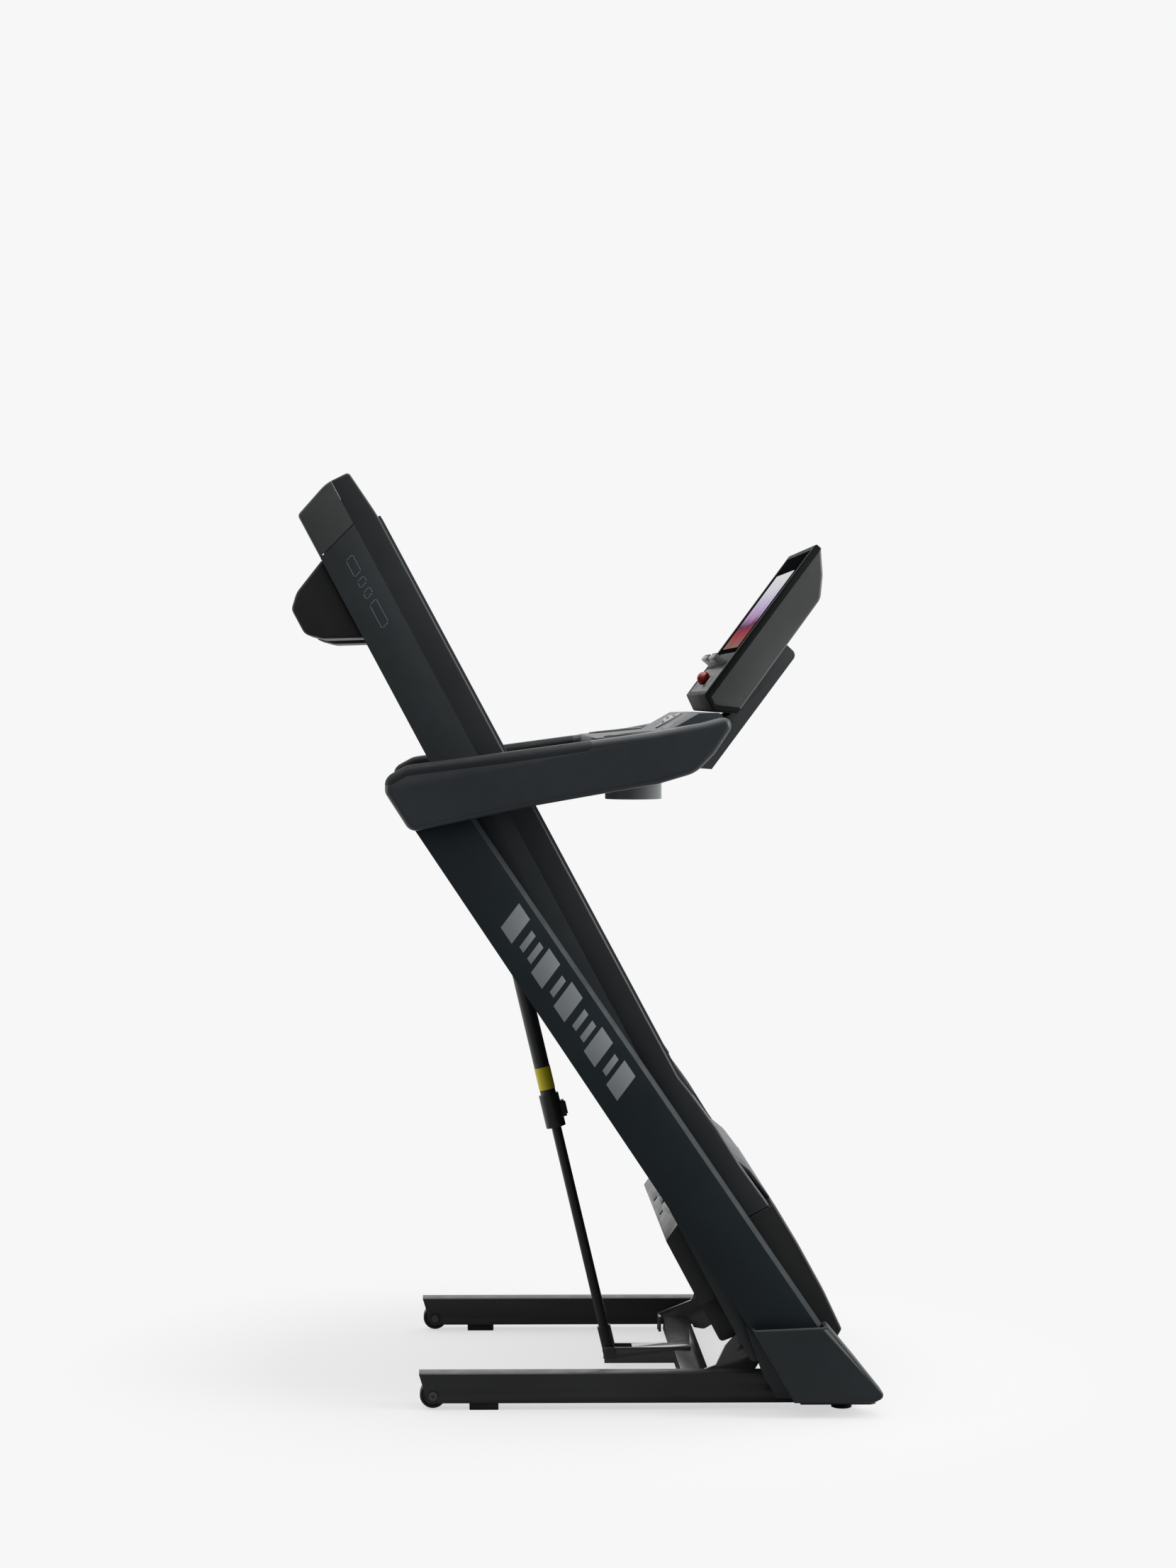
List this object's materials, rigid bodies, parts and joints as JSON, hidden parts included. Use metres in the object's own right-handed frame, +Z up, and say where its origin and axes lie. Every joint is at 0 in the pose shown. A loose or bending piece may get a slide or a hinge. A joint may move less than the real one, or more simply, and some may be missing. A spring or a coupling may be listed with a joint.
{
  "type": "folding treadmill",
  "caption": "Folding running machine stored with its deck raised on a telescopic strut: wheeled base, leaning uprights, long handrails, tilted touch screen console.",
  "frame": {"origin": "on the floor under the middle of the folded machine's box", "axes": "+X towards the console end (front of the machine), +Y the user's left, +Z up"},
  "size_m": [1.0229, 0.9, 1.6423],
  "materials": {
    "frame_paint": "satin powder coat",
    "cover_plastic": "moulded, fine texture",
    "dark_plastic": "moulded, fine texture",
    "cap_plastic": "moulded, fine texture",
    "pan_steel": "gloss paint on pressed steel",
    "soft_grip": "soft touch",
    "belt_rubber": "woven-backed belt, fine diamond texture",
    "board_wood": "waxed board",
    "wheel_rubber": "hard moulded",
    "bright_steel": "zinc plated",
    "motor_metal": "painted casting",
    "controller_metal": "cast heat sink",
    "vent_plastic": "light grey",
    "fan_plastic": "moulded",
    "screen_glass": "tempered glass",
    "screen_picture": "lit panel",
    "circuit_board": "lacquered",
    "key_red": "glossy",
    "button_green": "glossy",
    "button_red": "glossy",
    "button_grey": "glossy"
  },
  "bodies": {
    "root": {"base_rail_left": "frame_paint", "base_rail_right": "frame_paint", "base_front_tube": "frame_paint", "rubber_feet": "soft_grip", "frame_bolts": "bright_steel", "upright_left": "frame_paint", "upright_right": "frame_paint", "foot_covers": "cover_plastic", "handrail_left": "cover_plastic", "handrail_right": "cover_plastic", "handrail_grips": "soft_grip", "console_base": "cover_plastic", "cup_holders": "dark_plastic", "fan_grille": "vent_plastic", "fan_motor": "fan_plastic", "console_spine": "cover_plastic", "console_shell": "cover_plastic", "console_bezel": "dark_plastic", "screen_glass": "screen_glass", "display_panel": "screen_picture", "console_board": "circuit_board", "control_panel": "dark_plastic", "tablet_ledge": "dark_plastic"},
    "lift_frame": {"lift_frame": "frame_paint", "pivot_pins": "bright_steel"},
    "deck": {"deck_rails": "frame_paint", "deck_cross_members": "frame_paint", "running_belt": "belt_rubber", "running_board": "board_wood", "board_cushions": "soft_grip", "roller_shafts": "frame_paint", "foot_rails": "cover_plastic", "rear_caps": "cap_plastic", "hood": "dark_plastic", "landing_cover": "cover_plastic", "belly_pan": "pan_steel", "power_inlet": "dark_plastic", "motor_housing": "motor_metal", "drive_belt": "belt_rubber", "motor_controller": "controller_metal", "incline_actuator": "motor_metal", "rear_legs": "dark_plastic"},
    "wheel_left": {"wheel_left": "wheel_rubber"},
    "wheel_right": {"wheel_right": "wheel_rubber"},
    "strut_rod": {"strut_rod": "frame_paint"},
    "strut_tube": {"strut_tube": "frame_paint"},
    "strut_latch": {"strut_latch": "dark_plastic"},
    "front_roller": {"front_roller": "bright_steel"},
    "rear_roller": {"rear_roller": "bright_steel"},
    "motor_rotor": {"motor_rotor": "motor_metal"},
    "incline_screw": {"incline_screw": "bright_steel"},
    "fan_wheel": {"fan_wheel": "fan_plastic"},
    "safety_key": {"safety_key": "key_red"},
    "start_button": {"start_button": "button_green"},
    "stop_button": {"stop_button": "button_red"},
    "speed_up_button": {"speed_up_button": "button_grey"},
    "speed_down_button": {"speed_down_button": "button_grey"},
    "incline_up_button": {"incline_up_button": "button_grey"},
    "incline_down_button": {"incline_down_button": "button_grey"},
    "power_switch": {"power_switch": "dark_plastic"}
  },
  "joints": [
    {"name": "wheel_left_spin", "type": "hinge", "parent": "root", "child": "wheel_left", "pos_m": [-0.2676, 0.335, 0.025], "axis": [0, 1, 0], "continuous": true},
    {"name": "wheel_right_spin", "type": "hinge", "parent": "root", "child": "wheel_right", "pos_m": [-0.2676, -0.335, 0.025], "axis": [0, 1, 0], "continuous": true},
    {"name": "incline", "type": "hinge", "parent": "root", "child": "lift_frame", "pos_m": [-1.2, 0, 0], "axis": [0, -1, 0], "range_deg": [0, 6.8]},
    {"name": "deck_fold", "type": "hinge", "parent": "lift_frame", "child": "deck", "pos_m": [0.3, 0, 0.11], "axis": [0, -1, 0], "range_deg": [0, 62]},
    {"name": "strut_swing", "type": "hinge", "parent": "lift_frame", "child": "strut_rod", "pos_m": [0.06, 0, 0.028], "axis": [0, -1, 0], "range_deg": [0, 71.5]},
    {"name": "strut_slide", "type": "slide", "parent": "strut_rod", "child": "strut_tube", "axis": [-0.2288, 0, 0.9735], "range_m": [-0.2285, 0]},
    {"name": "latch_press", "type": "slide", "parent": "strut_tube", "child": "strut_latch", "axis": [-0.9735, 0, -0.2288], "range_m": [0, 0.004], "stiffness_N_per_m": 1500},
    {"name": "front_roller_spin", "type": "hinge", "parent": "deck", "child": "front_roller", "pos_m": [0.23886, 0, 0.37196], "axis": [0, 1, 0], "continuous": true},
    {"name": "rear_roller_spin", "type": "hinge", "parent": "deck", "child": "rear_roller", "pos_m": [-0.4076, 0, 1.58778], "axis": [0, 1, 0], "continuous": true},
    {"name": "motor_spin", "type": "hinge", "parent": "deck", "child": "motor_rotor", "pos_m": [0.29044, 0.25, 0.22384], "axis": [0, 1, 0], "continuous": true},
    {"name": "incline_screw_travel", "type": "slide", "parent": "deck", "child": "incline_screw", "axis": [-0.4695, 0, 0.8829], "range_m": [0, 0.0805]},
    {"name": "fan_spin", "type": "hinge", "parent": "root", "child": "fan_wheel", "pos_m": [0.19101, 0, 1.17376], "axis": [-0.4914, 0, 0.8709], "continuous": true},
    {"name": "safety_key_pull", "type": "slide", "parent": "root", "child": "safety_key", "axis": [-0.8018, 0, 0.5976], "range_m": [0, 0.03]},
    {"name": "start_press", "type": "slide", "parent": "root", "child": "start_button", "axis": [0.8018, 0, -0.5976], "range_m": [0, 0.0015], "stiffness_N_per_m": 800},
    {"name": "stop_press", "type": "slide", "parent": "root", "child": "stop_button", "axis": [0.8018, 0, -0.5976], "range_m": [0, 0.0015], "stiffness_N_per_m": 800},
    {"name": "speed_up_press", "type": "slide", "parent": "root", "child": "speed_up_button", "axis": [0.8018, 0, -0.5976], "range_m": [0, 0.0015], "stiffness_N_per_m": 800},
    {"name": "speed_down_press", "type": "slide", "parent": "root", "child": "speed_down_button", "axis": [0.8018, 0, -0.5976], "range_m": [0, 0.0015], "stiffness_N_per_m": 800},
    {"name": "incline_up_press", "type": "slide", "parent": "root", "child": "incline_up_button", "axis": [0.8018, 0, -0.5976], "range_m": [0, 0.0015], "stiffness_N_per_m": 800},
    {"name": "incline_down_press", "type": "slide", "parent": "root", "child": "incline_down_button", "axis": [0.8018, 0, -0.5976], "range_m": [0, 0.0015], "stiffness_N_per_m": 800},
    {"name": "power_switch_rock", "type": "hinge", "parent": "deck", "child": "power_switch", "pos_m": [0.39275, -0.08, 0.09532], "axis": [0, 1, 0], "range_deg": [-6, 6]}
  ],
  "couplings": [
    {"joint": "strut_swing", "follows": "deck_fold", "ratio": 1.1496},
    {"joint": "strut_slide", "follows": "deck_fold", "m_per_rad": -0.20977},
    {"joint": "rear_roller_spin", "follows": "front_roller_spin", "ratio": 1},
    {"joint": "motor_spin", "follows": "front_roller_spin", "ratio": 1.7463},
    {"joint": "incline_screw_travel", "follows": "incline", "m_per_rad": 0.674}
  ]
}
